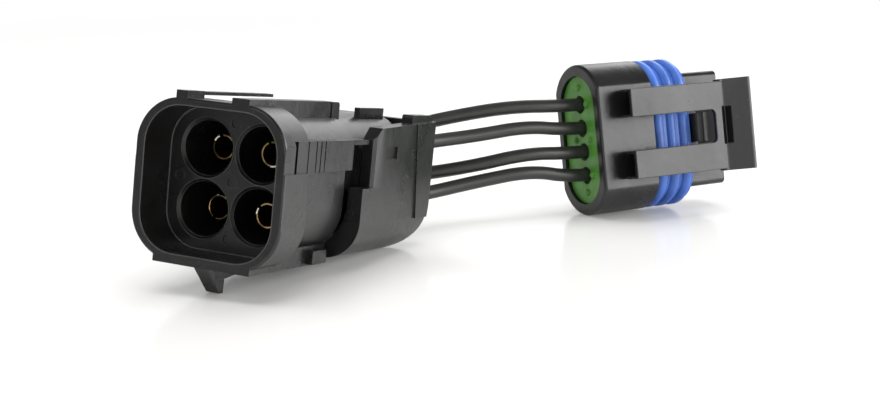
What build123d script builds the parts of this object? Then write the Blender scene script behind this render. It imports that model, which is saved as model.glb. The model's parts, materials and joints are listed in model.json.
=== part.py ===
from build123d import *
import os
from math import cos, sin, tan, radians

os.makedirs("parts", exist_ok=True)

# Wiring harness adapter: a square four-way socket connector, four leads and a four-way oval connector.
# All sizes are millimetres. The adapter lies on the plane z = 0, as it comes to rest on a bench.
# Near is the side that faces -Y, and far is the side that faces +Y.

# Stance of the square connector: its axis runs from the mouth to the rear
mouth_x = -58.35
mouth_y = 25.55
square_rise = -6.95
square_lean = -3.0

# Stance of the oval connector: its axis runs from the rear face to the nose
oval_x = 30.55
oval_y = -7.55
oval_yaw = -38.7
oval_rise = 1.05
oval_lean = 10.0

# Leads and their terminals
lead_diameter = 2.7
lead_fit = 0.05
crimp_wall = 0.45

# Square connector: cavities
pitch_across = 10.4
pitch_up = 10.2
cavity_diameter = 9.3
cavity_mouth = 0.35
cavity_depth = 19.0

# Square connector: flange and mouth
flange_width = 28.2
flange_height = 26.4
flange_corner = 8.0
flange_length = 7.7
flange_round = 0.5
recess_wall = 1.8
recess_wall_up = 1.25
recess_corner = 6.5
recess_depth = 7.6
eject_diameter = 1.8
eject_depth = 0.15
eject_across = 10.1
eject_up = 9.65

# Square connector: body
body_width = 24.7
body_top = 11.85
body_bottom = -12.2
body_corner = 8.8
body_rear = 50.0
body_round = 0.7
body_gap = 1.0
recess_inset = 1.9
recess_end = 31.0
rear_inset = 0.9

# Square connector: bottom pad and lock ramp
pad_width = 18.2
pad_drop = 1.4
pad_height = 4.0
pad_gap = 0.6
ramp_width = 2.5
ramp_drop = 4.4
ramp_start = 0.2
ramp_tip = 4.5
ramp_flat = 1.0
heel_gap = 0.2
heel_drop = 2.1
heel_slope = 0.4
heel_end = 9.0

# Square connector: side rails
rail_step = 0.27
rail_low = 3.1
rail_high = 8.2
rail_length = 23.2
rail_slot_at = 3.25
rail_slot = 0.7
rail_slot_depth = 1.0
rail_groove_at = (7.4, 10.1, 11.6, 13.1)
rail_groove = 0.3
rail_groove_depth = 0.25
ledge_thick = 0.8

# Square connector: top tongue, web rail and gate strip
tongue_far = 6.9
tongue_width = 2.1
tongue_thick = 0.55
tongue_top = 14.3
tongue_length = 26.8
tongue_block = 4.9
tongue_block_top = 14.4
web_near = 6.7
web_width = 3.2
web_top = 14.1
web_length = 27.0
web_depth = 2.1
web_round = 0.9
bump_gap = 0.5
bump_length = 2.8
bump_top = 14.05
bump_round = 0.6
gate_start = 38.3
gate_length = 9.8
gate_top = 13.1
gate_width = 1.1

# Square connector: small lug under the near side
lug_rise = 1.2
lug_low = -13.3
lug_high = -11.0
lug_root = 0.6
lug_start = 18.4
lug_length = 4.8

# Lock doors
door_gap = 0.3
door_clearance = 1.0
door_thick = 2.75
lip_clearance = 0.4
lip_reach = 2.85
door_low_front = 25.2
door_high_front = 29.2
door_split = -0.1
door_bottom = -12.86
door_corner = 7.0
door_rear = 53.0
door_wall = 1.8
door_heel = 9.5
door_shoulder = 2.0
door_top_front = 10.3
door_top_rear = 11.5
door_slot = 4.2
strip_high_start = 44.9
strip_low_start = 47.4
strip_low = -6.5
strip_raise = 0.35
bevel_length = 3.0
bevel_depth = 0.25
bevel_step = 0.6
bevel_edge = 0.8
dimple_start = 33.2
dimple_length = 4.6
dimple_low = 4.8
dimple_high = 7.0
dimple_depth = 0.5
strap_start = 44.2
strap_rise = 1.1
strap_inset = 0.5
strap_round = 0.5

# Socket terminals
socket_tip = 11.0
socket_set_back = 1.6
socket_diameter = 4.3
socket_bore = 3.7
socket_bore_depth = 12.0
socket_seam = 0.5
socket_seam_length = 9.0
socket_fit = 0.1
socket_shoulder = 5.6
socket_shoulder_length = 0.9
shoulder_seat = 38.0
crimp_start = 39.5
crimp_length = 4.6
crimp_base = 0.4

# Cable seals in the square connector
seal_bore = 6.6
seal_start = 44.6
seal_end = 49.7
seal_rib = 0.35
seal_fit = 0.05

# Oval connector: skirt, neck and nose
skirt_width = 16.0
skirt_height = 31.2
skirt_bulge = 1.2
skirt_length = 13.3
skirt_round = 0.6
skirt_wall = 1.8
skirt_wall_end = 2.3
neck_width = 11.6
neck_height = 26.6
neck_length = 9.7
nose_width = 10.0
nose_height = 24.2
nose_corner = 1.2
nose_length = 9.5
way_pitch = 4.9
way_bore = 4.4
way_bore_depth = 14.0
way_square = 3.6
way_wall = 1.2
blade_slot_width = 2.4
blade_slot_height = 1.2
keeper_start = 0.3
keeper_length = 2.9
keeper_height = 6.0
keeper_top = 9.0
keeper_lead = 1.9

# Seals of the oval connector
grommet_recess = 0.8
grommet_length = 4.6
nub_diameter = 1.1
nub_height = 0.5
blue_seal_height = 31.0
blue_seal_width = 15.6
blue_seal_groove = 0.7
blue_rib_width = 2.3
blue_rib_pitch = 3.1
blue_rib_round = 0.6
collar_diameter = 3.6
collar_depth = 1.0

# Release latch
latch_middle = 0.35
latch_face = 12.8
arm_thick = 0.9
arm_start = 4.8
arm_inner = 3.4
arm_outer = 9.1
bar_start = 25.5
bar_end = 27.8
window_corner = 1.0
thumb_start = 28.1
thumb_end = 33.0
thumb_top = 15.5
thumb_lip = 0.6
thumb_thick = 1.7
thumb_half = 9.55
thumb_drop = 0.3
thumb_root = 1.5
thumb_slot_start = 27.3
thumb_slot_end = 29.3
thumb_slot_half = 3.9
thumb_slot_depth = 1.6
foot_at = 10.5
foot_diameter = 2.3
foot_gap = 0.15
foot_lift = 0.65
foot_wall = 0.45
foot_pocket = 3.6

# Blade terminals of the oval connector
blade_box = 2.8
blade_box_wall = 0.4
blade_box_length = 9.5
blade_tip_gap = 0.4
blade_neck_thick = 0.8
oval_crimp_gap = 0.3
oval_crimp_length = 3.6
oval_crimp_base = 0.6

# Depth by which joined forms run into each other
overlap = 0.5


def connector_plane(origin, yaw, rise, lean):
    """Plane whose normal is the connector's axis, with y up and x to the far side."""
    run = cos(radians(rise))
    axis = Vector(cos(radians(yaw)) * run, sin(radians(yaw)) * run, sin(radians(rise)))
    level = Vector(-sin(radians(yaw)), cos(radians(yaw)), 0)
    up = axis.cross(level)
    far_side = level * cos(radians(lean)) - up * sin(radians(lean))
    return Plane(origin=origin, x_dir=far_side, z_dir=axis)


# Heights that bring the ramp tip and the edge of the oval skirt down to the bench
pad_bottom = body_bottom - pad_drop
ramp_bottom = pad_bottom - ramp_drop
ramp_tip_end = ramp_tip + ramp_flat
mouth_z = (
    -ramp_bottom * cos(radians(square_rise)) * cos(radians(square_lean))
    - ramp_tip_end * sin(radians(square_rise))
    - ramp_width / 2 * sin(radians(square_lean)) * cos(radians(square_rise))
)
skirt_end_radius = (skirt_width + skirt_bulge) / 2
oval_z = (
    (skirt_height / 2 - skirt_end_radius) * cos(radians(oval_lean)) + skirt_end_radius
) * cos(radians(oval_rise))

# Each connector has a plane across its axis, and a plane that looks on its near side
square = connector_plane((mouth_x, mouth_y, mouth_z), 0, square_rise, square_lean)
square_side = Plane(origin=square.origin, x_dir=square.z_dir, z_dir=square.x_dir * -1)
square_above = Plane(origin=square.origin, x_dir=square.z_dir, z_dir=square.y_dir * -1)
square_axis = Axis(square.origin, square.z_dir)
oval = connector_plane((oval_x, oval_y, oval_z), oval_yaw, oval_rise, oval_lean)
oval_side = Plane(origin=oval.origin, x_dir=oval.z_dir, z_dir=oval.x_dir * -1)
oval_above = Plane(origin=oval.origin, x_dir=oval.z_dir, z_dir=oval.y_dir * -1)
oval_axis = Axis(oval.origin, oval.z_dir)

body_height = body_top - body_bottom
pad_length = door_low_front - pad_gap
body_middle = (body_top + body_bottom) / 2
body_step = door_low_front - body_gap
shoulder_low = rail_high - ledge_thick
shoulder_end = door_high_front - door_gap
rear_width = body_width - 2 * rear_inset
rear_height = body_height - rear_inset
rear_middle = body_middle + rear_inset / 2
rear_corner = body_corner - rear_inset / 2
rail_face = flange_width / 2 - rail_step
terminal_bore = socket_diameter + 2 * socket_fit
door_inner = rear_width / 2 + door_clearance
door_face = door_inner + door_thick
door_lip = rear_width / 2 - lip_reach

with BuildPart() as square_housing:
    # Flange and front part of the body, each with rounded edges
    with BuildSketch(square):
        RectangleRounded(flange_width, flange_height, flange_corner)
    extrude(amount=flange_length)
    with BuildSketch(square.offset(flange_length)):
        with Locations((0, body_middle)):
            RectangleRounded(body_width, body_height, body_corner)
    extrude(amount=body_step - flange_length)
    fillet(square_housing.edges().group_by(square_axis)[0], flange_round)
    fillet(square_housing.edges().group_by(square_axis)[-1], body_round)
    # Shoulder above the rails that runs on to the upper front edge of the doors
    with BuildSketch(square.offset(body_step - body_round - overlap)):
        with Locations((0, body_middle)):
            RectangleRounded(body_width, body_height, body_corner)
        with Locations((0, shoulder_low)):
            Rectangle(2 * body_width, body_height, align=(Align.CENTER, Align.MIN), mode=Mode.INTERSECT)
    extrude(amount=shoulder_end - body_step + body_round + overlap)
    # Rear part, with a recess on each side for the front edge of the doors
    with BuildSketch(square.offset(body_step - overlap)):
        with Locations((0, rear_middle)):
            RectangleRounded(rear_width, rear_height, rear_corner)
    extrude(amount=body_rear - body_step + overlap)
    for side in (1, -1):
        with BuildSketch(square_side.offset(side * (body_width / 2 - recess_inset))):
            with Locations((body_step, shoulder_low)):
                Rectangle(recess_end - body_step, body_height, align=(Align.MIN, Align.MAX))
        extrude(amount=side * recess_inset, mode=Mode.SUBTRACT)
    # Flat pad under the body
    with BuildSketch(square):
        with Locations((0, pad_bottom)):
            Rectangle(pad_width, pad_height, align=(Align.CENTER, Align.MIN))
    extrude(amount=pad_length)
    # Lock ramp on the middle line of the pad
    with BuildSketch(square_side.offset(-ramp_width / 2)):
        with BuildLine():
            Polyline(
                (ramp_start, pad_bottom + overlap),
                (ramp_start, pad_bottom),
                (ramp_tip, ramp_bottom),
                (ramp_tip_end, ramp_bottom),
                (ramp_tip_end + heel_gap, pad_bottom - heel_drop),
                (heel_end, pad_bottom - heel_drop + heel_slope),
                (heel_end, pad_bottom + overlap),
                close=True,
            )
        make_face()
    extrude(amount=ramp_width)
    # Side rails, each with a thin ledge behind it, a cross slot near the rim and four fine grooves
    rail_middle = (rail_low + rail_high) / 2
    rail_root = rail_face - rear_width / 2 + rear_inset
    for side in (1, -1):
        with BuildSketch(square_side.offset(side * rail_face)):
            with Locations((flange_length / 2, rail_middle)):
                Rectangle(
                    rail_length - flange_length / 2, rail_high - rail_low, align=(Align.MIN, Align.CENTER)
                )
            with Locations((rail_length - overlap, rail_high)):
                Rectangle(shoulder_end - rail_length + overlap, ledge_thick, align=(Align.MIN, Align.MAX))
        extrude(amount=-side * rail_root)
        with BuildSketch(square_side.offset(side * rail_face)):
            with Locations((0, rail_middle)):
                Rectangle(2 * flange_length, rail_high - rail_low)
        extrude(amount=side * rail_step, mode=Mode.SUBTRACT)
        with BuildSketch(square_side.offset(side * flange_width / 2)):
            with Locations((rail_slot_at, rail_middle)):
                Rectangle(rail_slot, rail_high - rail_low, align=(Align.MIN, Align.CENTER))
        extrude(amount=-side * rail_slot_depth, mode=Mode.SUBTRACT)
        with BuildSketch(square_side.offset(side * (rail_face - rail_groove_depth))):
            for groove_at in rail_groove_at:
                with Locations((groove_at, rail_middle)):
                    Rectangle(rail_groove, rail_high - rail_low)
        extrude(amount=side * rail_groove_depth, mode=Mode.SUBTRACT)
    # Free tongue on top of the far side, held by its block on the flange
    with BuildSketch(square_side.offset(-tongue_far)):
        with Locations((0, tongue_block_top)):
            Rectangle(
                tongue_block, tongue_block_top - flange_height / 2 + overlap, align=(Align.MIN, Align.MAX)
            )
        with Locations((0, tongue_top)):
            Rectangle(tongue_length, tongue_thick, align=(Align.MIN, Align.MAX))
    extrude(amount=tongue_width)
    # Web rail on top of the near side, the bump behind it and the rough gate strip
    web_root = body_top - web_depth
    bump_height = 2 * (bump_top - web_root)
    with BuildSketch(square_side.offset(web_near)):
        with Locations((0, web_top)):
            Rectangle(web_length / 2, web_top - web_root, align=(Align.MIN, Align.MAX))
            RectangleRounded(web_length, web_top - web_root, web_round, align=(Align.MIN, Align.MAX))
        with Locations((web_length + bump_gap + bump_length / 2, bump_top)):
            RectangleRounded(bump_length, bump_height, bump_round, align=(Align.CENTER, Align.MAX))
    extrude(amount=-web_width)
    with BuildSketch(square_side.offset(web_near)):
        with Locations((gate_start, gate_top)):
            Rectangle(gate_length, gate_top - web_root, align=(Align.MIN, Align.MAX))
    extrude(amount=-gate_width)
    # Small lug under the near side, rooted in the pad
    with BuildSketch(square_side.offset(pad_width / 2 + lug_rise)):
        with Locations((lug_start, lug_low)):
            Rectangle(lug_length, lug_high - lug_low, align=(Align.MIN, Align.MIN))
    extrude(amount=-lug_rise - lug_root)
    # Deep mouth with five round ejector marks on its floor
    with BuildSketch(square):
        RectangleRounded(flange_width - 2 * recess_wall, flange_height - 2 * recess_wall_up, recess_corner)
    extrude(amount=recess_depth, mode=Mode.SUBTRACT)
    with BuildSketch(square.offset(recess_depth)):
        with Locations((0, 0), (0, eject_up), (0, -eject_up), (eject_across, 0), (-eject_across, 0)):
            Circle(eject_diameter / 2)
    extrude(amount=eject_depth, mode=Mode.SUBTRACT)
    # Four cavities, with the bores of the terminals and of the cable seals behind them
    with BuildSketch(square.offset(recess_depth)):
        with GridLocations(pitch_across, pitch_up, 2, 2):
            Circle(cavity_diameter / 2)
    extrude(amount=cavity_depth, mode=Mode.SUBTRACT)
    mouth_rings = square_housing.edges().filter_by(GeomType.CIRCLE).filter_by(
        lambda edge: abs(edge.radius - cavity_diameter / 2) < 0.01
    )
    chamfer(mouth_rings.group_by(square_axis)[0], cavity_mouth)
    with BuildSketch(square.offset(recess_depth + cavity_depth)):
        with GridLocations(pitch_across, pitch_up, 2, 2):
            Circle(terminal_bore / 2)
    extrude(amount=shoulder_seat - recess_depth - cavity_depth, mode=Mode.SUBTRACT)
    with BuildSketch(square.offset(shoulder_seat)):
        with GridLocations(pitch_across, pitch_up, 2, 2):
            Circle(seal_bore / 2)
    extrude(amount=body_rear - shoulder_seat, mode=Mode.SUBTRACT)

square_housing.part.label = "square_housing"
export_step(square_housing.part, "parts/square_housing.step")


# Lock doors: side is 1 for the near door and -1 for the far door
door_blank = 2 * body_height
for side, name in ((1, "near_lock_door"), (-1, "far_lock_door")):
    edge_side = Align.MAX if side == 1 else Align.MIN
    with BuildPart() as door:
        # Bowed wall that wraps the side and the lower corner of the body
        with BuildSketch(square.offset(door_low_front)):
            with Locations((0, door_bottom)):
                RectangleRounded(2 * door_face, door_blank, door_corner, align=(Align.CENTER, Align.MIN))
            with Locations((0, rear_middle)):
                RectangleRounded(
                    2 * door_inner,
                    rear_height + 2 * lip_clearance,
                    rear_corner + lip_clearance,
                    mode=Mode.SUBTRACT,
                )
            with Locations((0, rear_middle)):
                Rectangle(2 * door_inner, door_blank, align=(Align.CENTER, Align.MIN), mode=Mode.SUBTRACT)
            with Locations((-side * door_lip, 0)):
                Rectangle(door_face, 2 * door_blank, align=(edge_side, Align.CENTER), mode=Mode.INTERSECT)
        extrude(amount=door_rear - door_low_front)
        # Rear wall
        with BuildSketch(square.offset(door_rear - door_wall)):
            with Locations((0, door_bottom)):
                RectangleRounded(2 * door_face, door_blank, door_corner, align=(Align.CENTER, Align.MIN))
            with Locations((-side * door_gap / 2, 0)):
                Rectangle(door_face, 2 * door_blank, align=(edge_side, Align.CENTER), mode=Mode.INTERSECT)
        extrude(amount=door_wall)
        # Raised strip at the rear
        with BuildSketch(square_side.offset(side * (door_face - door_wall))):
            with BuildLine():
                Polyline(
                    (strip_low_start, strip_low),
                    (strip_high_start, door_top_rear),
                    (door_rear, door_top_rear),
                    (door_rear, strip_low),
                    close=True,
                )
            make_face()
        extrude(amount=side * (door_wall + strip_raise))
        # Side outline with the stepped front edge, the sloping top and the round heel
        with BuildSketch(square_side.offset(-2 * door_face)):
            with BuildLine():
                outline = Polyline(
                    (door_rear, door_bottom + door_heel),
                    (door_rear, door_top_rear),
                    (door_high_front + door_shoulder, door_top_front),
                    (door_high_front, door_top_front - door_shoulder),
                    (door_high_front, door_split),
                    (door_low_front, door_split),
                    (door_low_front, door_bottom),
                    (door_rear - door_heel, door_bottom),
                )
                RadiusArc(outline @ 1, outline @ 0, -door_heel)
            make_face()
        extrude(amount=4 * door_face, mode=Mode.INTERSECT)
        # Bevelled border along the upper front edge
        with BuildSketch(square_above.offset(-door_split)):
            with BuildLine():
                Polyline(
                    (door_high_front, side * (door_face - bevel_edge)),
                    (door_high_front + bevel_step, side * (door_face - bevel_depth)),
                    (door_high_front + bevel_length, side * door_face),
                    (door_high_front + bevel_length, side * (door_face + overlap)),
                    (door_high_front - overlap, side * (door_face + overlap)),
                    (door_high_front - overlap, side * (door_face - bevel_edge)),
                    close=True,
                )
            make_face()
        extrude(amount=-door_blank, mode=Mode.SUBTRACT)
        # Slots that pass over the leads from the middle line
        with BuildSketch(square.offset(door_rear - 2 * door_wall)):
            with Locations((-side * pitch_across / 2, 0)), GridLocations(0, pitch_up, 1, 2):
                Circle(door_slot / 2)
            with Locations((0, pitch_up / 2), (0, -pitch_up / 2)):
                Rectangle(pitch_across, door_slot)
        extrude(amount=3 * door_wall, mode=Mode.SUBTRACT)
        # Dimple in the upper half, and the rounded strap end on the top edge
        with BuildSketch(square_side.offset(side * door_face)):
            with Locations((dimple_start, dimple_low)):
                Rectangle(dimple_length, dimple_high - dimple_low, align=(Align.MIN, Align.MIN))
        extrude(amount=-side * dimple_depth, mode=Mode.SUBTRACT)
        with BuildSketch(square_side.offset(side * door_inner)):
            with Locations((strap_start, door_top_rear + strap_rise)):
                RectangleRounded(
                    door_rear - strap_start, 2 * strap_rise, strap_round, align=(Align.MIN, Align.MAX)
                )
        extrude(amount=side * (door_thick - strap_inset))
    door.part.label = name
    export_step(door.part, "parts/" + name + ".step")


# Socket terminals: a rolled socket with its seam, a shoulder on its seat and a crimp around the lead.
# The far pair is set back, and each has rolled to its own angle.
crimp_diameter = lead_diameter + 2 * lead_fit + 2 * crimp_wall
way_corners = [
    (pitch_across / 2, pitch_up / 2),
    (-pitch_across / 2, pitch_up / 2),
    (pitch_across / 2, -pitch_up / 2),
    (-pitch_across / 2, -pitch_up / 2),
]
seam_turns = (75, 70, -65, 41)
for number, (corner, seam_turn) in enumerate(zip(way_corners, seam_turns), start=1):
    tip = socket_tip + socket_set_back if corner[0] > 0 else socket_tip
    with BuildPart() as terminal:
        with BuildSketch(square.offset(tip)):
            with Locations(corner):
                Circle(socket_diameter / 2)
        extrude(amount=crimp_start - tip)
        with BuildSketch(square.offset(shoulder_seat)):
            with Locations(corner):
                Circle(socket_shoulder / 2)
        extrude(amount=socket_shoulder_length)
        with BuildSketch(square.offset(crimp_start)):
            with Locations(corner):
                Circle(crimp_diameter / 2)
        extrude(amount=crimp_length)
        with BuildSketch(square.offset(crimp_start + crimp_base)):
            with Locations(corner):
                Circle(lead_diameter / 2 + lead_fit)
        extrude(amount=crimp_length, mode=Mode.SUBTRACT)
        with BuildSketch(square.offset(tip)):
            with Locations(corner):
                Circle(socket_bore / 2)
        extrude(amount=socket_bore_depth, mode=Mode.SUBTRACT)
        with BuildSketch(square.offset(tip)):
            with Locations(Location((*corner, 0), (0, 0, seam_turn))):
                Rectangle(socket_diameter, socket_seam, align=(Align.MIN, Align.CENTER))
        extrude(amount=socket_seam_length, mode=Mode.SUBTRACT)
    name = "socket_terminal_" + str(number)
    terminal.part.label = name
    export_step(terminal.part, "parts/" + name + ".step")


# Cable seals: three ribs that fill the rear bore around each lead
rib_spacing = (seal_end - seal_start) / 3
rib_gap = rib_spacing / 4
for number, corner in enumerate(way_corners, start=1):
    with BuildPart() as cable_seal:
        with BuildSketch(square.offset(seal_start)):
            with Locations(corner):
                Circle(seal_bore / 2 - seal_fit - seal_rib)
        extrude(amount=seal_end - seal_start)
        for rib in range(3):
            with BuildSketch(square.offset(seal_start + rib * rib_spacing + rib_gap)):
                with Locations(corner):
                    Circle(seal_bore / 2 - seal_fit)
            extrude(amount=rib_spacing - 2 * rib_gap)
        with BuildSketch(square.offset(seal_start)):
            with Locations(corner):
                Circle(lead_diameter / 2 + lead_fit)
        extrude(amount=seal_end - seal_start, mode=Mode.SUBTRACT)
    name = "cable_seal_" + str(number)
    cable_seal.part.label = name
    export_step(cable_seal.part, "parts/" + name + ".step")


# Oval connector: one moulding from the skirt to the nose
neck_start = skirt_length
nose_start = skirt_length + neck_length
nose_end = nose_start + nose_length
grommet_end = grommet_recess + grommet_length
way_heights = (3 * way_pitch / 2, way_pitch / 2, -way_pitch / 2, -3 * way_pitch / 2)
way_square_start = grommet_end + way_bore_depth
rear_opening_width = skirt_width - 2 * skirt_wall
rear_opening_height = skirt_height - 2 * skirt_wall_end
with BuildPart() as oval_housing:
    # Skirt with round ends and a flat land on each side
    with BuildSketch(oval):
        SlotOverall(skirt_height, 2 * skirt_end_radius, rotation=90)
        Rectangle(skirt_width, skirt_height, mode=Mode.INTERSECT)
    extrude(amount=skirt_length)
    fillet(oval_housing.edges().group_by(oval_axis)[0], skirt_round)
    # Neck under the blue seal, and the nose
    with BuildSketch(oval.offset(neck_start)):
        SlotOverall(neck_height, neck_width, rotation=90)
    extrude(amount=neck_length)
    with BuildSketch(oval.offset(nose_start)):
        RectangleRounded(nose_width, nose_height, nose_corner)
    extrude(amount=nose_length)
    # Block on the nose that shows in the latch window, with a lead-in at its back
    keeper_back = nose_start + keeper_start
    keeper_front = keeper_back + keeper_length
    keeper_root = nose_width / 2 - overlap
    with BuildSketch(oval_above.offset(-latch_middle - keeper_height / 2)):
        with BuildLine():
            keeper = Polyline(
                (keeper_back + keeper_lead, keeper_top),
                (keeper_front, keeper_top),
                (keeper_front, keeper_root),
                (keeper_back, keeper_root),
                (keeper_back, keeper_top - keeper_lead),
            )
            RadiusArc(keeper @ 1, keeper @ 0, keeper_lead)
        make_face()
    extrude(amount=keeper_height)
    # Rear opening, the ways of the four terminals and the slots for the blades
    with BuildSketch(oval):
        SlotOverall(rear_opening_height, rear_opening_width, rotation=90)
    extrude(amount=grommet_end, mode=Mode.SUBTRACT)
    with BuildSketch(oval.offset(grommet_end)):
        with GridLocations(0, way_pitch, 1, 4):
            Circle(way_bore / 2)
    extrude(amount=way_bore_depth, mode=Mode.SUBTRACT)
    with BuildSketch(oval.offset(way_square_start)):
        with GridLocations(0, way_pitch, 1, 4):
            Rectangle(way_square, way_square)
    extrude(amount=nose_end - way_wall - way_square_start, mode=Mode.SUBTRACT)
    with BuildSketch(oval.offset(nose_end - 2 * way_wall)):
        with GridLocations(0, way_pitch, 1, 4):
            Rectangle(blade_slot_width, blade_slot_height)
    extrude(amount=3 * way_wall, mode=Mode.SUBTRACT)

oval_housing.part.label = "oval_housing"
export_step(oval_housing.part, "parts/oval_housing.step")

# Blue seal: three round ribs on a band stretched over the neck
blue_band_height = blue_seal_height - 2 * blue_seal_groove
blue_band_width = blue_seal_width - 2 * blue_seal_groove
with BuildPart() as perimeter_seal:
    for rib in (-1, 0, 1):
        rib_start = neck_start + neck_length / 2 + rib * blue_rib_pitch - blue_rib_width / 2
        with BuildSketch(oval.offset(rib_start)):
            SlotOverall(blue_seal_height, blue_seal_width, rotation=90)
        extrude(amount=blue_rib_width)
    chamfer(perimeter_seal.faces().filter_by(oval).edges(), blue_rib_round)
    with BuildSketch(oval.offset(neck_start + seal_fit)):
        SlotOverall(blue_band_height, blue_band_width, rotation=90)
    extrude(amount=neck_length - 2 * seal_fit)
    with BuildSketch(oval.offset(neck_start)):
        SlotOverall(neck_height + 2 * seal_fit, neck_width + 2 * seal_fit, rotation=90)
    extrude(amount=neck_length, mode=Mode.SUBTRACT)

perimeter_seal.part.label = "perimeter_seal"
export_step(perimeter_seal.part, "parts/perimeter_seal.step")

# Green seal: fills the rear opening around the four leads, with sunk collars and moulded nubs on its face
nub_places = [
    (0, 10.9), (0, -10.9),
    (-2.6, 7.3), (-2.6, 0), (-2.6, -7.3),
    (2.6, 7.3), (2.6, 0), (2.6, -7.3),
]
with BuildPart() as lead_seal:
    with BuildSketch(oval.offset(grommet_recess)):
        SlotOverall(rear_opening_height - 2 * seal_fit, rear_opening_width - 2 * seal_fit, rotation=90)
    extrude(amount=grommet_length)
    with BuildSketch(oval.offset(grommet_recess)):
        with Locations(*nub_places):
            Circle(nub_diameter / 2)
    extrude(amount=-nub_height)
    with BuildSketch(oval.offset(grommet_recess)):
        with GridLocations(0, way_pitch, 1, 4):
            Circle(collar_diameter / 2)
    extrude(amount=collar_depth, mode=Mode.SUBTRACT)
    with BuildSketch(oval.offset(grommet_recess)):
        with GridLocations(0, way_pitch, 1, 4):
            Circle(lead_diameter / 2 + lead_fit)
    extrude(amount=grommet_length, mode=Mode.SUBTRACT)

lead_seal.part.label = "lead_seal"
export_step(lead_seal.part, "parts/lead_seal.step")

# Release latch: two arms on cored pivot feet, the cross bar and the flared thumb pad
foot_base = skirt_width / 2 + foot_gap
foot_height = foot_base + foot_diameter / 2
arm_under = latch_face - arm_thick
foot_top = arm_under + arm_thick / 2
arm_width = arm_outer - arm_inner
arm_middle = (arm_inner + arm_outer) / 2
with BuildPart() as release_latch:
    with BuildSketch(oval_side.offset(arm_under)):
        with Locations((arm_start, latch_middle)):
            Rectangle(bar_end - arm_start, 2 * arm_outer, align=(Align.MIN, Align.CENTER))
        with Locations((0, latch_middle)):
            RectangleRounded(2 * bar_start, 2 * arm_inner, window_corner, mode=Mode.SUBTRACT)
    extrude(amount=arm_thick)
    # Thumb pad, level with the bar where it leaves it and flared towards its lip
    with BuildSketch(oval_above.offset(-latch_middle - thumb_half)):
        with BuildLine():
            Polyline(
                (bar_end - overlap, arm_under - thumb_root),
                (bar_end - overlap, latch_face - thumb_drop),
                (thumb_start, latch_face - thumb_drop),
                (thumb_end - thumb_lip, thumb_top),
                (thumb_end, thumb_top),
                (thumb_end, thumb_top - thumb_thick),
                (thumb_slot_end + thumb_lip, arm_under - thumb_root),
                close=True,
            )
        make_face()
    extrude(amount=2 * thumb_half)
    # Slot across the root of the pad
    with BuildSketch(oval_side.offset(latch_face - thumb_slot_depth)):
        with Locations((thumb_slot_start, latch_middle)):
            Rectangle(
                thumb_slot_end - thumb_slot_start, 2 * thumb_slot_half, align=(Align.MIN, Align.CENTER)
            )
    extrude(amount=thumb_top, mode=Mode.SUBTRACT)
    # Pivot feet under the arms, open at the back
    for side in (1, -1):
        with BuildSketch(oval_above.offset(-latch_middle - side * arm_middle - arm_width / 2)):
            with BuildLine():
                Polyline(
                    (foot_at, foot_base),
                    (arm_start, foot_base + foot_lift),
                    (arm_start, foot_top),
                    (foot_at, foot_top),
                    close=True,
                )
            make_face()
            with Locations((foot_at, foot_height)):
                Circle(foot_diameter / 2)
                Rectangle(foot_diameter / 2, foot_top - foot_height, align=(Align.MIN, Align.MIN))
        extrude(amount=arm_width)
        with BuildSketch(oval.offset(arm_start)):
            with Locations((-foot_base, latch_middle + side * arm_middle)):
                Rectangle(arm_under - foot_base, arm_width - 2 * foot_wall, align=(Align.MAX, Align.CENTER))
        extrude(amount=foot_pocket, mode=Mode.SUBTRACT)

release_latch.part.label = "release_latch"
export_step(release_latch.part, "parts/release_latch.step")

# Blade terminals: a sprung box at the nose, a flat neck and a crimp around the lead
box_end = nose_end - way_wall - blade_tip_gap
box_start = box_end - blade_box_length
oval_crimp_start = grommet_end + oval_crimp_gap
oval_crimp_end = oval_crimp_start + oval_crimp_length
for number, way_at in enumerate(way_heights, start=1):
    with BuildPart() as blade_terminal:
        with BuildSketch(oval.offset(box_start)):
            with Locations((0, way_at)):
                Rectangle(blade_box, blade_box)
        extrude(amount=blade_box_length)
        with BuildSketch(oval.offset(box_start + blade_box_wall)):
            with Locations((0, way_at)):
                Rectangle(blade_box - 2 * blade_box_wall, blade_box - 2 * blade_box_wall)
        extrude(amount=blade_box_length, mode=Mode.SUBTRACT)
        with BuildSketch(oval.offset(oval_crimp_end - overlap)):
            with Locations((0, way_at)):
                Rectangle(blade_box, blade_neck_thick)
        extrude(amount=box_start + blade_box_wall - oval_crimp_end + overlap)
        with BuildSketch(oval.offset(oval_crimp_start)):
            with Locations((0, way_at)):
                Circle(crimp_diameter / 2)
        extrude(amount=oval_crimp_length)
        with BuildSketch(oval.offset(oval_crimp_start)):
            with Locations((0, way_at)):
                Circle(lead_diameter / 2 + lead_fit)
        extrude(amount=oval_crimp_length - oval_crimp_base, mode=Mode.SUBTRACT)
    name = "oval_terminal_" + str(number)
    blade_terminal.part.label = name
    export_step(blade_terminal.part, "parts/" + name + ".step")

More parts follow.
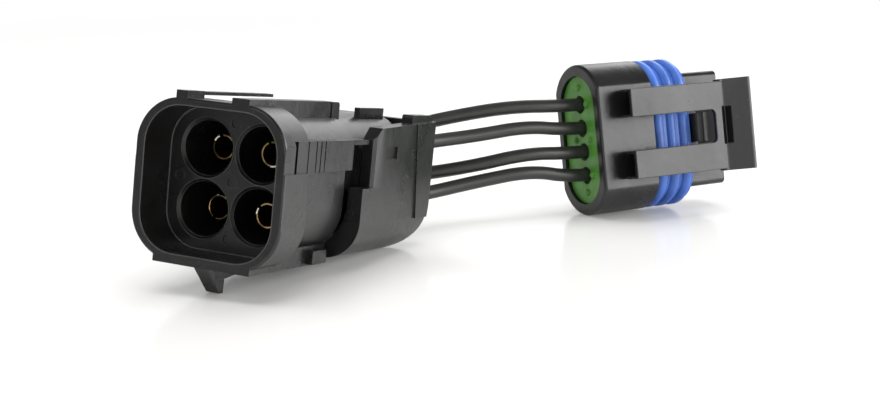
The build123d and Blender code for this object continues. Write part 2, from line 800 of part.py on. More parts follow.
# Leads: the first two points lie on the axis of a square way, and the last two on the axis of an oval way
lead_start = 43.0
lead_exit = 54.0
lead_entry = -2.8
lead_end = 7.0
lead_turns = [
    [(5.3, 23.6, 19.0), (13.5, 14.4, 21.3), (21.3, 4.3, 23.0)],
    [(5.2, 16.1, 17.2), (13.5, 8.7, 17.8), (21.4, 0.9, 19.1)],
    [(4.3, 22.0, 9.9), (12.8, 10.5, 11.3), (20.9, 0.3, 13.7)],
    [(4.3, 15.9, 7.0), (12.9, 7.9, 8.7), (20.8, -0.6, 10.2)],
]
for number, (corner, way_at, turns) in enumerate(zip(way_corners, way_heights, lead_turns), start=1):
    route = [
        square.from_local_coords(Vector(corner[0], corner[1], lead_start)),
        square.from_local_coords(Vector(corner[0], corner[1], lead_exit)),
        *[Vector(*turn) for turn in turns],
        oval.from_local_coords(Vector(0, way_at, lead_entry)),
        oval.from_local_coords(Vector(0, way_at, lead_end)),
    ]
    runs = [after - before for before, after in zip(route, route[1:])]
    bends = [before.get_angle(after) for before, after in zip(runs, runs[1:])]
    radii = [
        0.45 * min(before.length, after.length) / tan(radians(bend) / 2)
        for before, after, bend in zip(runs, runs[1:], bends)
    ]
    with BuildPart() as lead:
        with BuildLine() as lead_path:
            FilletPolyline(*route, radius=radii)
        with BuildSketch(Plane(lead_path.line @ 0, z_dir=lead_path.line % 0)):
            Circle(lead_diameter / 2)
        sweep(path=lead_path.line)
    name = "lead_" + str(number)
    lead.part.label = name
    export_step(lead.part, "parts/" + name + ".step")
    print(name, "route", [tuple(round(value, 2) for value in point) for point in route])
    print(name, "runs", [round(run.length, 1) for run in runs])
    print(name, "radii", [round(radius, 1) for radius in radii])
    print(name, "length", round(lead_path.wire().length, 2), "volume", round(lead.part.volume, 2))
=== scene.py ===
"""Looks of a short wiring harness adapter: a square four-way socket connector, four black leads and
an oval sealed connector with a blue and a green seal, lying on a pale bench under soft studio light."""

import json
from math import radians

import bmesh
import bpy
import numpy as np
from bpy.props import FloatProperty, FloatVectorProperty, IntProperty, PointerProperty
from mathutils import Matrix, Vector


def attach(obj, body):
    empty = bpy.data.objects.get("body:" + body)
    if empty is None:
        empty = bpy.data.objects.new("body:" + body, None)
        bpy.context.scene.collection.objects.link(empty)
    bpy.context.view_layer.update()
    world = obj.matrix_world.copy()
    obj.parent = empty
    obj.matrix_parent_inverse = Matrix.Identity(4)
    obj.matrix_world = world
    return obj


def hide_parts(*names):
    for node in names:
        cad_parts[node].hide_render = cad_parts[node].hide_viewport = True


bl_info = {
    "name": "Wiring harness adapter",
    "version": (1, 0, 0),
    "blender": (4, 5, 0),
    "location": "3D Viewport > Sidebar > Harness",
    "description": "Builds the finish of a four-way wiring adapter around its solid model",
    "category": "Object",
}

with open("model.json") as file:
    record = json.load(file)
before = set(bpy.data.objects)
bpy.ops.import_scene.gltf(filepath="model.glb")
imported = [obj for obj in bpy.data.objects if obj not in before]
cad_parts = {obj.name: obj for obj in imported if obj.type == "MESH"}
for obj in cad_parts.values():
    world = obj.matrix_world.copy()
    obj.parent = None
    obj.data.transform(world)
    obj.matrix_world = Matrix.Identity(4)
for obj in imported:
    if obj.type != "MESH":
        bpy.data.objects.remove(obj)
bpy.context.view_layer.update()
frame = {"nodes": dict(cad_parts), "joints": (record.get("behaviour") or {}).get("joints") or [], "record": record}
RECORD = frame["record"]
MM = 0.001
BODY_OF = {node: body for body, nodes in RECORD["behaviour"]["bodies"].items() for node in nodes}
MOUNTS = {mount["name"]: mount for mount in RECORD["mounts"]}
JOINTS = {joint["name"]: joint for joint in frame["joints"]}


class Place:
    """A connector's own axes. A point in it is given in millimetres: across to the far side, up and
    along the connector."""

    def __init__(self, origin, up, along):
        self.origin = np.array(origin, float)
        self.up = np.array(up, float) / np.linalg.norm(up)
        self.along = np.array(along, float) / np.linalg.norm(along)
        self.across = np.cross(self.up, self.along)

    def at(self, points):
        """World points in metres: origin + across * x + up * y + along * z."""
        points = np.asarray(points, float)
        axes = np.stack([self.across, self.up, self.along])
        return self.origin + (points * MM) @ axes


# The centre of the mouth lies ahead of the sockets' ends by their depth, and the centre of the oval
# connector's rear face lies behind the end of its nose by its length, in millimetres
SOCKET_DEPTH = 11.0
OVAL_LENGTH = 32.5
SQUARE_ALONG = -np.array(MOUNTS["square_sockets"]["axis"])
OVAL_ALONG = np.array(MOUNTS["oval_ways"]["axis"])
SQUARE = Place(
    np.array(MOUNTS["square_sockets"]["pos_m"]) - SQUARE_ALONG * SOCKET_DEPTH * MM,
    JOINTS["far_door_hinge"]["axis"],
    SQUARE_ALONG,
)
OVAL = Place(
    np.array(MOUNTS["oval_ways"]["pos_m"]) - OVAL_ALONG * OVAL_LENGTH * MM,
    -np.array(JOINTS["latch_pivot"]["axis"]),
    OVAL_ALONG,
)

# The four sockets of the square connector, in millimetres: their spacing, their bore and how much
# deeper the far pair stands
PITCH_ACROSS = 10.4
PITCH_UP = 10.2
SOCKET_BORE = 3.7
SOCKET_SET_BACK = 1.6

# The recess of the square connector, in millimetres: half its width and height, the radius of its
# corners and its depth, and the cavities and the ejector marks in its floor
RECESS_WIDE = 12.3
RECESS_HIGH = 11.95
RECESS_CORNER = 6.5
RECESS_DEPTH = 7.6
CAVITY_RADIUS = 4.65
EJECTOR_RADIUS = 0.9
EJECTOR_ACROSS = 10.1
EJECTOR_UP = 9.65

# Rounded edges in the recess are thin rolls of plastic, glossier than the housing and painted lighter
# as a highlight. In millimetres: the radius of each roll, how deep its centre is sunk, how far the
# ring around each cavity lies outside it, and how deep the roll in each cavity lies below the recess
# floor.
FLOOR_ROLL = 0.20
RIM_ROLL = 0.14
RING_ROLL = 0.10
CAVITY_ROLL = 0.09
EJECTOR_ROLL = 0.05
FLOOR_SUNK = 0.1
CAVITY_SUNK = 0.02
EJECTOR_SUNK = 0.04
RING_OUT = 0.42
CAVITY_STEP = 0.45

# Each socket by its side and its end: the direction from its axis to its bright tab, and half the
# angle that the tab takes up, in degrees
SOCKET_TABS = {(1, 1): (47, 18), (-1, 1): (-103, 15), (1, -1): (82, 7), (-1, -1): (17, 16)}

# The socket's end is painted as a bright ring, a painted highlight, with painted shade inside the bore and further
# out: how far outside the bore the ring sets in and fades, in millimetres
PAINTED_RING_SETS_IN = (-0.06, 0.02)
PAINTED_RING_FADES = (0.14, 0.22)

# Profile of a tab, from the bore to the outside: its distances from the socket's axis and behind the
# socket's end, in millimetres
TAB_PROFILE = ((1.78, 0.15), (1.84, -0.12), (2.06, -0.22), (2.28, -0.10), (2.32, 0.35))

# The green seal of the oval connector, in millimetres: where its face lies and its moulded nubs
SEAL_FACE = 0.8
SEAL_NUBS = (
    (0, 10.9), (0, -10.9),
    (-2.6, 7.3), (-2.6, 0), (-2.6, -7.3),
    (2.6, 7.3), (2.6, 0), (2.6, -7.3),
)
NUB_RADIUS = 0.68
NUB_HEIGHT = 0.62

# The floor of the latch window, in millimetres: where it starts along the nose, its middle, half its
# width, how far it lies from the connector's axis, and the width over which its dull look fades
WINDOW_START = 26.25
WINDOW_MIDDLE = 0.35
WINDOW_HALF = 3.6
NOSE_FACE = 5.0
WINDOW_FADE = 0.2

# Angles between faces, in degrees: facets are joined up to the first, edges are hard from the second,
# and the edges of a soft piece from the third
FLAT_ANGLE = 0.5
HARD_ANGLE = 28
SOFT_ANGLE = 75

# Corners of a solid's mesh that lie this close are one, in metres
MERGED_WITHIN = 1e-6

# The photograph's view: a focal length of 1398 pixels in a picture 880 pixels wide
FOCAL_PIXELS = 1398
PICTURE_WIDTH = 880
SENSOR_WIDTH = 36.0
CAMERA_AT = (-0.2435, -0.0961, 0.0578)
CAMERA_PITCH = 11.0
CAMERA_HEADING = 23.67

# Strength of the surroundings at the horizon and overhead, and the sines of the heights between which
# it changes
SKY_LEVEL = 1.0
CEILING_LEVEL = 0.10
CEILING_FROM = 0.22
CEILING_BY = 0.70

# The far left of the photograph is dim: its direction, the cosines of the angles from it between which
# the surroundings lose strength, and how much they lose
DIM_SIDE = (-0.6, 0.8, 0.0)
DIM_SIDE_FROM = 0.10
DIM_SIDE_BY = 0.90
DIM_SIDE_LOSS = 0.6

# The lamps: where each is, what it faces, its size, its power in watts, and whether glossy surfaces
# show it
LAMPS = {
    "top_light": ((0.05, 0.10, 0.75), (0.0, 0.0, 0.0), (0.9, 0.7), 7.5, False),
    "near_light": ((0.22, -0.75, 0.24), (0.0, 0.0, 0.02), (1.1, 0.45), 8.5, True),
    "back_light": ((0.95, -0.12, 0.62), (0.0, 0.0, 0.02), (0.9, 0.5), 3.0, True),
    "front_light": ((-0.60, 0.22, 0.50), (0.0, 0.0, 0.02), (0.35, 0.25), 0.8, True),
    "camera_light": ((-0.50, -0.18, 0.13), (0.0, 0.0, 0.02), (0.16, 0.16), 0.14, True),
}

# The bench, in metres: half its side, and the distances between which it fades to plain white for the
# camera. The last value is the share of white close to the object.
BENCH_HALF = 1.1
WHITE_FROM = 0.30
WHITE_BY = 0.80
WHITE_NEAR = 0.08

# Colours of what is hidden or shows only as a trace, including the painted shade inside the sockets' bores, and
# plain white
TIN = (0.72, 0.71, 0.68)
BORE_PAINTED_SHADE = (0.012, 0.009, 0.005)
DUST = (0.12, 0.12, 0.115)
WHITE = (1.0, 1.0, 1.0)

# Routes of the four leads, in metres, from the square connector to the oval one
LEAD_ROUTES = {
    "lead_1": [
        (-0.01502, 0.03048, 0.01870), (-0.00410, 0.03048, 0.01737), (0.0053, 0.0236, 0.0190),
        (0.0135, 0.0144, 0.0213), (0.0213, 0.0043, 0.0230),
        (0.02906, -0.00472, 0.02268), (0.03671, -0.01085, 0.02286),
    ],
    "lead_2": [
        (-0.01508, 0.02009, 0.01816), (-0.00416, 0.02009, 0.01682), (0.0052, 0.0161, 0.0172),
        (0.0135, 0.0087, 0.0178), (0.0214, 0.0009, 0.0191),
        (0.02860, -0.00544, 0.01785), (0.03624, -0.01157, 0.01803),
    ],
    "lead_3": [
        (-0.01625, 0.03101, 0.00859), (-0.00533, 0.03101, 0.00725), (0.0043, 0.0220, 0.0099),
        (0.0128, 0.0105, 0.0113), (0.0209, 0.0003, 0.0137),
        (0.02813, -0.00616, 0.01303), (0.03578, -0.01229, 0.01321),
    ],
    "lead_4": [
        (-0.01632, 0.02062, 0.00804), (-0.00540, 0.02062, 0.00671), (0.0043, 0.0159, 0.0070),
        (0.0129, 0.0079, 0.0087), (0.0208, -0.0006, 0.0102),
        (0.02767, -0.00688, 0.00820), (0.03532, -0.01300, 0.00838),
    ],
}


class LookSettings(bpy.types.PropertyGroup):
    """Colours and sizes of the finishes that a user would change."""

    black: FloatVectorProperty(
        name="Black nylon", description="Base colour of both housings", subtype="COLOR", size=3,
        default=(0.006, 0.006, 0.006), min=0, max=1,
    )
    jacket: FloatVectorProperty(
        name="Lead jacket", description="Base colour of the insulation", subtype="COLOR", size=3,
        default=(0.014, 0.014, 0.013), min=0, max=1,
    )
    blue: FloatVectorProperty(
        name="Blue seal", description="Base colour of the perimeter seal", subtype="COLOR", size=3,
        default=(0.055, 0.145, 0.500), min=0, max=1,
    )
    green: FloatVectorProperty(
        name="Green seal", description="Base colour of the lead seal", subtype="COLOR", size=3,
        default=(0.085, 0.270, 0.040), min=0, max=1,
    )
    gold: FloatVectorProperty(
        name="Gold", description="Base colour of the plated sockets", subtype="COLOR", size=3,
        default=(0.72, 0.50, 0.22), min=0, max=1,
    )
    # Rounded edges are painted lighter than the housings, a painted highlight along them
    rubbed: FloatVectorProperty(
        name="Polished edges", description="Base colour of rounded edges", subtype="COLOR", size=3,
        default=(0.035, 0.035, 0.034), min=0, max=1,
    )
    tabs: FloatVectorProperty(
        name="Socket tabs", description="Base colour of the bright tabs", subtype="COLOR", size=3,
        default=(1.00, 0.94, 0.80), min=0, max=1,
    )
    floor: FloatVectorProperty(
        name="Bench", description="Colour of the bench", subtype="COLOR", size=3,
        default=(0.830, 0.822, 0.810), min=0, max=1,
    )
    edge: FloatProperty(
        name="Edge radius", description="Rounding of moulded edges", subtype="DISTANCE", unit="LENGTH",
        default=0.00018, min=0, max=0.001,
    )
    lead_diameter: FloatProperty(
        name="Lead diameter", description="Diameter over the insulation", subtype="DISTANCE",
        unit="LENGTH", default=0.0027, min=0.001, max=0.006,
    )
    edge_steps: IntProperty(
        name="Edge steps", description="Segments across a rounded edge", default=2, min=1, max=6,
    )


class Wire:
    """Wraps the output of a shader node, so that arithmetic on it adds Math nodes."""

    def __init__(self, shade, socket):
        self.shade = shade
        self.socket = socket

    def math(self, operation, *others):
        return self.shade.node("ShaderNodeMath", {"operation": operation}, *(self, *others))

    def __add__(self, other):
        return self.math("ADD", other)

    def __radd__(self, other):
        return self.shade.node("ShaderNodeMath", {"operation": "ADD"}, other, self)

    def __sub__(self, other):
        return self.math("SUBTRACT", other)

    def __rsub__(self, other):
        return self.shade.node("ShaderNodeMath", {"operation": "SUBTRACT"}, other, self)

    def __mul__(self, other):
        return self.math("MULTIPLY", other)

    def above(self, low, high):
        """0 below low, 1 above high and smooth between."""
        settings = {"interpolation_type": "SMOOTHSTEP"}
        return self.shade.node("ShaderNodeMapRange", settings, self, low, high, 0.0, 1.0)


class Shade:
    """The node tree of a material or of the world, with its first shader ready to be set."""

    def __init__(self, owner):
        owner.use_nodes = True
        self.owner = owner
        self.tree = owner.node_tree
        self.shader = self.tree.nodes.get("Principled BSDF") or self.tree.nodes["Background"]

    def feed(self, socket, value):
        """Links a wire to a socket, or sets a number or a colour on it."""
        if isinstance(value, Wire):
            self.tree.links.new(value.socket, socket)
        elif hasattr(value, "__len__") and len(value) == 3 and socket.type == "RGBA":
            socket.default_value = (*value, 1.0)
        else:
            socket.default_value = value

    def node(self, kind, settings=None, *values, out=0, **named):
        """Adds a node: its settings first, then its sockets in order, or by name."""
        node = self.tree.nodes.new(kind)
        for key, value in (settings or {}).items():
            setattr(node, key, value)
        for socket, value in zip(node.inputs, values):
            if value is not None:
                self.feed(socket, value)
        for key, value in named.items():
            self.feed(node.inputs[key], value)
        return Wire(self, node.outputs[out])

    def vector(self, operation, *values, out=0):
        """Adds a Vector Math node."""
        return self.node("ShaderNodeVectorMath", {"operation": operation}, *values, out=out)

    def place(self):
        """The point on the object, in metres."""
        return self.node("ShaderNodeTexCoord", out=3)

    def from_point(self, origin, *axes):
        """Distances in millimetres from a point along each of the axes."""
        offset = self.vector("SUBTRACT", self.place(), tuple(origin))
        return [self.vector("DOT_PRODUCT", offset, tuple(axis / MM), out=1) for axis in axes]

    def noise(self, scale, detail=2.0):
        """Soft noise from 0 to 1, with a grain of about 1 / scale metres."""
        return self.node("ShaderNodeTexNoise", None, Vector=self.place(), Scale=scale, Detail=detail)

    def mix(self, factor, first, second):
        """A colour between two colours."""
        node = self.tree.nodes.new("ShaderNodeMix")
        node.data_type = "RGBA"
        self.feed(node.inputs["Factor"], factor)
        self.feed(node.inputs[6], first)
        self.feed(node.inputs[7], second)
        return Wire(self, node.outputs[2])

    def bump(self, height, strength, distance):
        """A normal from a height that runs from 0 to 1."""
        return self.node("ShaderNodeBump", None, Strength=strength, Distance=distance, Height=height)

    def set(self, **named):
        """Sets or links the shader's sockets; an underscore stands for a space."""
        for key, value in named.items():
            self.feed(self.shader.inputs[key.replace("_", " ")], value)


def window_floor(shade):
    """1 on the middle of the nose ahead of the block in the latch window, and 0 on the rest of the
    connector."""
    across, up, along = shade.from_point(OVAL.origin, OVAL.across, OVAL.up, OVAL.along)
    ahead = along.above(WINDOW_START, WINDOW_START + WINDOW_FADE)
    beside = (up - WINDOW_MIDDLE).math("ABSOLUTE").above(WINDOW_HALF, WINDOW_HALF + 2 * WINDOW_FADE)
    on_nose = across.above(-NOSE_FACE - 2 * WINDOW_FADE, -NOSE_FACE - WINDOW_FADE)
    return ahead * (1.0 - beside) * on_nose


def moulded_nylon(name, base, gloss=0.27, grain=0.3, dull=None):
    """Black moulded nylon: a faint grain, slow changes of gloss and a few dust specks. The function
    dull gives the places that are matt."""
    shade = Shade(bpy.data.materials.new(name))
    slow = shade.noise(120.0, 3.0)
    fine = shade.noise(5200.0, 2.0)
    waves = shade.noise(420.0, 2.0)
    specks = shade.noise(1700.0, 0.0).above(0.79, 0.82)
    lighter = [channel * 1.6 + 0.002 for channel in base]
    colour = shade.mix(slow, base, lighter)
    colour = shade.mix(specks * 0.12, colour, DUST)
    roughness = gloss - 0.08 + slow * 0.20 + specks * 0.1
    if dull is not None:
        roughness = roughness + dull(shade) * 0.65
    shade.set(
        Base_Color=colour,
        Roughness=roughness,
        Normal=shade.bump(fine * 0.08 + waves * 0.5 + slow, grain, 0.0004),
        IOR=1.5,
    )
    return shade.owner


def silicone(name, base, gloss=0.34, glow=0.12):
    """Smooth soft rubber with a little light inside it and faint mould marks."""
    shade = Shade(bpy.data.materials.new(name))
    slow = shade.noise(260.0, 2.0)
    fine = shade.noise(3600.0, 1.0)
    deeper = [channel * 0.72 for channel in base]
    shade.set(
        Base_Color=shade.mix(slow.above(0.3, 0.8), base, deeper),
        Roughness=gloss + fine * 0.08,
        Normal=shade.bump(fine, 0.05, 0.00004),
        Subsurface_Weight=glow,
        Subsurface_Scale=0.002,
        Subsurface_Radius=(0.4, 0.7, 1.0),
        IOR=1.45,
    )
    return shade.owner


def lead_jacket(name, base):
    """Extruded black insulation: a faint grain and a soft sheen."""
    shade = Shade(bpy.data.materials.new(name))
    slow = shade.noise(220.0, 2.0)
    fine = shade.noise(2600.0, 2.0)
    lighter = [channel * 1.7 + 0.003 for channel in base]
    shade.set(
        Base_Color=shade.mix(slow, base, lighter),
        Roughness=0.34 + fine * 0.12,
        Normal=shade.bump(fine * 0.5 + slow * 0.5, 0.08, 0.00005),
        IOR=1.5,
    )
    return shade.owner


def plated(name, base, gloss):
    """Bright plated metal with a fine drawn grain and slightly dull patches."""
    shade = Shade(bpy.data.materials.new(name))
    fine = shade.noise(4200.0, 2.0)
    slow = shade.noise(700.0, 2.0)
    darker = [channel * 0.78 for channel in base]
    shade.set(
        Base_Color=shade.mix(slow, base, darker),
        Metallic=1.0,
        Roughness=gloss + fine * 0.12,
        Normal=shade.bump(fine, 0.08, 0.00003),
    )
    return shade


def socket_gold_painted_light(name, base, gloss):
    """Gold plating that is dull inside the sockets' bores and painted dark there as shade. It is brightest
    on the thin end of each socket, in patches that are painted glints, and fades on its outside as
    painted shade."""
    shade = plated(name, base, gloss)
    bore = SOCKET_BORE / 2
    across, up = shade.from_point(SQUARE.origin, SQUARE.across, SQUARE.up)
    across = across.math("ABSOLUTE") - PITCH_ACROSS / 2
    up = up.math("ABSOLUTE") - PITCH_UP / 2
    radius = (across * across + up * up).math("SQRT")
    # Painted shade: the colour is near black inside the bore
    outside = radius.above(*(bore + shift for shift in PAINTED_RING_SETS_IN))
    colour = Wire(shade, shade.shader.inputs["Base Color"].links[0].from_socket)
    # Painted shade: the colour darkens outside the socket's thin end, which keeps a painted bright ring
    ring = 1.0 - radius.above(*(bore + shift for shift in PAINTED_RING_FADES)) * 0.8
    # Painted glints: the bright ring is lighter in patches
    patches = shade.noise(520.0, 1.0).above(0.40, 0.62) * 0.7 + 0.3
    shade.set(
        Base_Color=shade.mix(outside * ring * patches, BORE_PAINTED_SHADE, colour),
        Roughness=0.55 - outside * (0.55 - gloss),
    )
    return shade


def bench_white(name, base):
    """Glossy pale board. Seen straight by the camera it is lifted towards white, more so far away than
    close by, where it keeps its shadows and reflections."""
    shade = Shade(bpy.data.materials.new(name))
    slow = shade.noise(6.0, 2.0)
    shade.set(Base_Color=base, Roughness=0.14 + slow * 0.04, Specular_IOR_Level=0.60)
    seen = shade.node("ShaderNodeLightPath", out=0)
    distance = shade.vector("LENGTH", shade.place(), out=1)
    lift = seen * (distance.above(WHITE_FROM, WHITE_BY) * (1.0 - WHITE_NEAR) + WHITE_NEAR)
    white = shade.node("ShaderNodeEmission", None, WHITE, 1.0)
    mixed = shade.node("ShaderNodeMixShader", None, lift, Wire(shade, shade.shader.outputs[0]), white)
    shade.feed(shade.tree.nodes["Material Output"].inputs["Surface"], mixed)
    return shade.owner


def new_mesh(name, points, faces, material, smooth=True):
    """A mesh object at the origin from world points in metres."""
    mesh = bpy.data.meshes.new(name)
    mesh.from_pydata(np.asarray(points, float).reshape(-1, 3).tolist(), [], faces)
    mesh.update()
    piece = bpy.data.objects.new(name, mesh)
    bpy.context.scene.collection.objects.link(piece)
    mesh.polygons.foreach_set("use_smooth", [smooth] * len(mesh.polygons))
    mesh.materials.append(material)
    return piece


def dress(node, material, edge=None, steps=2, soft=False, edge_material=None):
    """Shows a rounded copy of a solid: its mesh merged, its flat facets joined and its edges bevelled.
    A soft piece is shaded round across its small chamfers, and a hard one can have edges of another
    gloss, whose lighter colour is a painted highlight."""
    source = frame["nodes"][node]
    mesh = source.data.copy()
    mesh.name = node + "_shown"
    work = bmesh.new()
    work.from_mesh(mesh)
    bmesh.ops.remove_doubles(work, verts=work.verts, dist=MERGED_WITHIN)
    bmesh.ops.dissolve_limit(work, angle_limit=radians(FLAT_ANGLE), verts=work.verts, edges=work.edges)
    crease = radians(SOFT_ANGLE if soft else HARD_ANGLE)
    for link in work.edges:
        link.smooth = not (link.is_manifold and link.calc_face_angle(0.0) > crease)
    for face in work.faces:
        face.smooth = True
    work.to_mesh(mesh)
    work.free()
    mesh.materials.clear()
    mesh.materials.append(material)
    if edge_material is not None:
        mesh.materials.append(edge_material)
    piece = bpy.data.objects.new(node + "_shown", mesh)
    bpy.context.scene.collection.objects.link(piece)
    if edge:
        rounding = piece.modifiers.new("Rounded edges", "BEVEL")
        rounding.width = edge
        rounding.segments = steps
        rounding.limit_method = "ANGLE"
        rounding.angle_limit = radians(HARD_ANGLE)
        rounding.miter_outer = "MITER_ARC"
        rounding.material = 1 if edge_material is not None else -1
    if not soft:
        flatten = piece.modifiers.new("Flat faces", "WEIGHTED_NORMAL")
        flatten.mode = "FACE_AREA_WITH_ANGLE"
        flatten.weight = 80
        flatten.keep_sharp = True
    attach(piece, BODY_OF[node])
    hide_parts(node)


def rounded_outline(half_wide, half_high, corner, steps=10):
    """Points of a rounded rectangle, anticlockwise from the right: a quarter circle around the centre
    of each corner."""
    turn = np.linspace(0, np.pi / 2, steps)
    quarters = []
    for start, side, end in ((0, 1, 1), (1, -1, 1), (2, -1, -1), (3, 1, -1)):
        middle = np.array([side * (half_wide - corner), end * (half_high - corner)])
        angle = turn + start * np.pi / 2
        quarters.append(middle + corner * np.stack([np.cos(angle), np.sin(angle)], 1))
    return np.concatenate(quarters)


def circle_outline(centre, radius, steps=72):
    """Points of a circle: the centre plus the radius times the cosine and the sine of an even turn."""
    angle = np.linspace(0, 2 * np.pi, steps, endpoint=False)
    return np.array(centre) + radius * np.stack([np.cos(angle), np.sin(angle)], 1)


def beads(name, place, loops, material, sides=8):
    """Thin closed rolls of plastic that lie across a connector. Each loop is its outline, its place
    along and its radius. A roll's surface is its outline, moved outward by the radius times the cosine
    of the turn around it, and along by the radius times its sine."""
    points, faces = [], []
    for outline, along, radius in loops:
        step = np.roll(outline, -1, 0) - np.roll(outline, 1, 0)
        outward = np.stack([step[:, 1], -step[:, 0]], 1) / np.linalg.norm(step, axis=1)[:, None]
        turn = np.linspace(0, 2 * np.pi, sides, endpoint=False)
        flat = outline[:, None, :] + radius * np.cos(turn)[None, :, None] * outward[:, None, :]
        depth = np.broadcast_to(along + radius * np.sin(turn)[None, :, None], flat.shape[:2] + (1,))
        first = sum(len(group) for group in points)
        points.append(place.at(np.concatenate([flat, depth], 2).reshape(-1, 3)))
        index = first + np.arange(len(outline) * sides).reshape(len(outline), sides)
        ahead = np.roll(index, -1, 0)
        corners = np.stack([index, ahead, np.roll(ahead, -1, 1), np.roll(index, -1, 1)], 2)
        faces.extend(corners.reshape(-1, 4).tolist())
    return new_mesh(name, np.concatenate(points), faces, material)


def domes(name, place, centres, along, radius, height, material):
    """Low round nubs that stand on a face of a connector and rise against its axis. Each lift from 0
    to 90 degrees has a ring, as wide as the radius times the cosine of the lift and as high as the
    height times its sine."""
    turn = np.linspace(0, 2 * np.pi, 24, endpoint=False)
    lift = np.linspace(0, np.pi / 2, 8)[:-1]
    points, faces = [], []
    for across, up in centres:
        first = len(points) * (len(lift) * len(turn) + 1)
        ring = radius * np.cos(lift)[:, None]
        grid = np.stack([
            across + ring * np.cos(turn),
            up + ring * np.sin(turn),
            np.broadcast_to(along - height * np.sin(lift)[:, None], (len(lift), len(turn))),
        ], 2)
        points.append(np.concatenate([grid.reshape(-1, 3), [[across, up, along - height]]]))
        index = first + np.arange(len(lift) * len(turn)).reshape(len(lift), len(turn))
        beside = np.roll(index, -1, 1)
        corners = np.stack([index[:-1], index[1:], beside[1:], beside[:-1]], 2)
        faces.extend(corners.reshape(-1, 4).tolist())
        top = first + len(lift) * len(turn)
        faces.extend(np.stack([index[-1], np.full(len(turn), top), beside[-1]], 1).tolist())
    return new_mesh(name, place.at(np.concatenate(points)), faces, material)


def socket_tab(name, side, end, direction, spread, material):
    """A bright curled tab on the end of a socket: the tab's profile, carried around the socket's axis
    over the angle that the tab takes up."""
    tip = SOCKET_DEPTH + (SOCKET_SET_BACK if side > 0 else 0)
    angle = np.radians(np.linspace(direction - spread, direction + spread, 9))
    rows = []
    for radius, along in TAB_PROFILE:
        across = side * PITCH_ACROSS / 2 + radius * np.cos(angle)
        up = end * PITCH_UP / 2 + radius * np.sin(angle)
        rows.append(np.stack([across, up, np.full_like(angle, tip + along)], 1))
    index = np.arange(len(rows) * len(angle)).reshape(len(rows), len(angle))
    corners = np.stack([index[:-1, :-1], index[1:, :-1], index[1:, 1:], index[:-1, 1:]], 2)
    return new_mesh(name, SQUARE.at(np.concatenate(rows)), corners.reshape(-1, 4).tolist(), material)


class HARNESS_OT_stage(bpy.types.Operator):
    """Add the bench, the soft lights and the camera of the photograph"""

    bl_idname = "harness.stage"
    bl_label = "Bench, lights and camera"

    def execute(self, context):
        look = context.scene.harness_look
        corners = BENCH_HALF * np.array([(-1, -1, 0), (1, -1, 0), (1, 1, 0), (-1, 1, 0)])
        white = bench_white("bench", tuple(look.floor))
        floor = new_mesh("bench", corners, [(0, 1, 2, 3)], white, smooth=False)
        self.sky(context.scene)
        for name, (at, toward, size, power, mirrored) in LAMPS.items():
            self.lamp(name, at, toward, size, power, mirrored)
        camera = bpy.data.cameras.new("camera")
        camera.sensor_width = SENSOR_WIDTH
        camera.lens = FOCAL_PIXELS / PICTURE_WIDTH * SENSOR_WIDTH
        camera.clip_start = 0.01
        view = bpy.data.objects.new("camera", camera)
        context.scene.collection.objects.link(view)
        view.location = CAMERA_AT
        view.rotation_euler = (radians(90 - CAMERA_PITCH), 0, radians(CAMERA_HEADING - 90))
        context.scene.camera = view
        context.scene.view_settings.view_transform = "Standard"
        return {"FINISHED"}

    def sky(self, scene):
        """Plain white behind the object. The light from it is white at the horizon, and dim overhead
        and on the far left."""
        scene.world = bpy.data.worlds.new("studio")
        shade = Shade(scene.world)
        direction = shade.node("ShaderNodeTexCoord")
        height = shade.node("ShaderNodeSeparateXYZ", None, direction, out=2)
        overhead = height.above(CEILING_FROM, CEILING_BY)
        seen = shade.node("ShaderNodeLightPath")
        facing = shade.vector("DOT_PRODUCT", direction, DIM_SIDE, out=1)
        level = SKY_LEVEL - facing.above(DIM_SIDE_FROM, DIM_SIDE_BY) * DIM_SIDE_LOSS
        around = level * (1.0 - overhead * (1.0 - CEILING_LEVEL))
        shade.set(Color=WHITE, Strength=around + seen * (1.0 - around))

    def lamp(self, name, at, toward, size, power, mirrored):
        """A rectangular soft light that faces a point, shown in glossy surfaces or left out of them."""
        light = bpy.data.lights.new(name, "AREA")
        light.shape = "RECTANGLE"
        light.size, light.size_y = size
        light.energy = power
        holder = bpy.data.objects.new(name, light)
        bpy.context.scene.collection.objects.link(holder)
        holder.location = at
        holder.visible_glossy = mirrored
        holder.rotation_euler = (Vector(toward) - Vector(at)).to_track_quat("-Z", "Y").to_euler()


class HARNESS_OT_leads(bpy.types.Operator):
    """Add the four leads as smooth curves along their routes"""

    bl_idname = "harness.leads"
    bl_label = "Leads"

    def execute(self, context):
        look = context.scene.harness_look
        jacket = lead_jacket("lead_jacket", tuple(look.jacket))
        for name, route in LEAD_ROUTES.items():
            curve = bpy.data.curves.new(name + "_cord", "CURVE")
            curve.dimensions = "3D"
            spline = curve.splines.new("NURBS")
            spline.points.add(len(route) - 1)
            for point, place in zip(spline.points, route):
                point.co = (*place, 1.0)
            spline.order_u = 3
            spline.use_endpoint_u = True
            spline.resolution_u = 24
            curve.bevel_depth = look.lead_diameter / 2
            curve.bevel_resolution = 12
            curve.use_fill_caps = True
            curve.materials.append(jacket)
            cord = bpy.data.objects.new(name + "_cord", curve)
            context.scene.collection.objects.link(cord)
            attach(cord, BODY_OF[name])
            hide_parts(name)
        return {"FINISHED"}


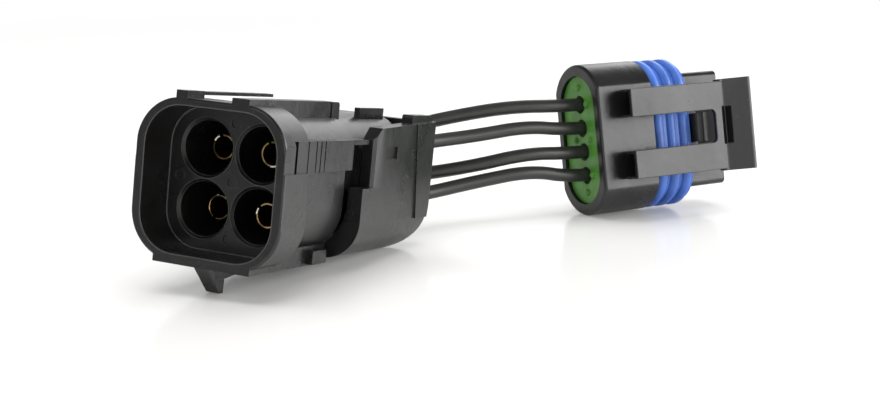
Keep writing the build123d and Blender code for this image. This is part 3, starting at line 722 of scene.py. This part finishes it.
class HARNESS_OT_square_connector(bpy.types.Operator):
    """Add the square connector's housing, lock doors, sockets and cable seals"""

    bl_idname = "harness.square_connector"
    bl_label = "Square connector"

    def execute(self, context):
        look = context.scene.harness_look
        nylon = moulded_nylon("black_housing", tuple(look.black))
        gold = socket_gold_painted_light("gold_plating", tuple(look.gold), 0.20).owner
        rubber = silicone("cable_seal_rubber", tuple(look.green))
        # Rounded edges get a glossier material, painted lighter than the housing as a highlight
        glossy_painted_highlight = moulded_nylon("polished_edges", tuple(look.rubbed), gloss=0.20)
        for node in ("square_housing", "near_lock_door", "far_lock_door"):
            dress(node, nylon, look.edge, look.edge_steps, edge_material=glossy_painted_highlight)
        for number in range(1, 5):
            dress("socket_terminal_%d" % number, gold, look.edge / 2, look.edge_steps)
            dress("cable_seal_%d" % number, rubber, look.edge, look.edge_steps)
        self.mouth(look, glossy_painted_highlight)
        return {"FINISHED"}

    def mouth(self, look, glossy_painted_highlight):
        """Adds the rounded edges in the recess, glossier and painted lighter as a highlight, and the bright tabs
        of the sockets.
        """
        recess = np.array([RECESS_WIDE, RECESS_HIGH, RECESS_CORNER])
        floor = rounded_outline(*(recess - FLOOR_SUNK))
        rim = rounded_outline(*(recess + FLOOR_SUNK))
        loops = [(floor, RECESS_DEPTH - FLOOR_SUNK, FLOOR_ROLL), (rim, FLOOR_SUNK, RIM_ROLL)]
        for side, end in SOCKET_TABS:
            centre = (side * PITCH_ACROSS / 2, end * PITCH_UP / 2)
            ring = circle_outline(centre, CAVITY_RADIUS + RING_OUT)
            step = circle_outline(centre, CAVITY_RADIUS + CAVITY_SUNK)
            loops.append((ring, RECESS_DEPTH, RING_ROLL))
            loops.append((step, RECESS_DEPTH + CAVITY_STEP, CAVITY_ROLL))
        for across, up in ((0, 0), (0, 1), (0, -1), (1, 0), (-1, 0)):
            centre = (across * EJECTOR_ACROSS, up * EJECTOR_UP)
            mark = circle_outline(centre, EJECTOR_RADIUS + EJECTOR_SUNK, 32)
            loops.append((mark, RECESS_DEPTH, EJECTOR_ROLL))
        edges = beads("mouth_edges", SQUARE, loops, glossy_painted_highlight)
        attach(edges, BODY_OF["square_housing"])
        bright = plated("socket_tabs", tuple(look.tabs), 0.25).owner
        for number, ((side, end), (direction, spread)) in enumerate(SOCKET_TABS.items(), 1):
            tab = socket_tab("socket_tab_%d" % number, side, end, direction, spread, bright)
            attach(tab, BODY_OF["square_housing"])


class HARNESS_OT_oval_connector(bpy.types.Operator):
    """Add the oval connector's housing, latch, seals and blade terminals"""

    bl_idname = "harness.oval_connector"
    bl_label = "Oval connector"

    def execute(self, context):
        look = context.scene.harness_look
        nylon = moulded_nylon("oval_black", tuple(look.black), gloss=0.28, dull=window_floor)
        # Rounded edges get a glossier material, painted lighter than the housing as a highlight
        glossy_painted_highlight = moulded_nylon("oval_polished_edges", tuple(look.rubbed), gloss=0.20)
        for node in ("oval_housing", "release_latch"):
            dress(node, nylon, look.edge, look.edge_steps, edge_material=glossy_painted_highlight)
        dress("perimeter_seal", silicone("blue_rubber", tuple(look.blue)), soft=True)
        green = silicone("green_rubber", tuple(look.green))
        dress("lead_seal", green, look.edge / 2, look.edge_steps)
        nubs = domes("seal_nubs", OVAL, SEAL_NUBS, SEAL_FACE, NUB_RADIUS, NUB_HEIGHT, green)
        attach(nubs, BODY_OF["lead_seal"])
        tin = plated("tin_plating", TIN, 0.28).owner
        for number in range(1, 5):
            dress("oval_terminal_%d" % number, tin, look.edge / 2, look.edge_steps)
        return {"FINISHED"}


class HARNESS_PT_panel(bpy.types.Panel):
    """Lists the finishes and the steps that build the adapter's looks"""

    bl_idname = "HARNESS_PT_panel"
    bl_label = "Harness adapter"
    bl_space_type = "VIEW_3D"
    bl_region_type = "UI"
    bl_category = "Harness"

    def draw(self, context):
        look = context.scene.harness_look
        for name in LookSettings.__annotations__:
            self.layout.prop(look, name)
        for step in STEPS:
            self.layout.operator(step.bl_idname)


STEPS = (HARNESS_OT_stage, HARNESS_OT_leads, HARNESS_OT_square_connector, HARNESS_OT_oval_connector)
CLASSES = (LookSettings, *STEPS, HARNESS_PT_panel)


def register():
    for item in CLASSES:
        bpy.utils.register_class(item)
    bpy.types.Scene.harness_look = PointerProperty(type=LookSettings)


def unregister():
    del bpy.types.Scene.harness_look
    for item in reversed(CLASSES):
        bpy.utils.unregister_class(item)


def main():
    register()
    bpy.ops.harness.stage()
    bpy.ops.harness.leads()
    bpy.ops.harness.square_connector()
    bpy.ops.harness.oval_connector()
    bpy.context.view_layer.update()


if __name__ == "__main__":
    main()
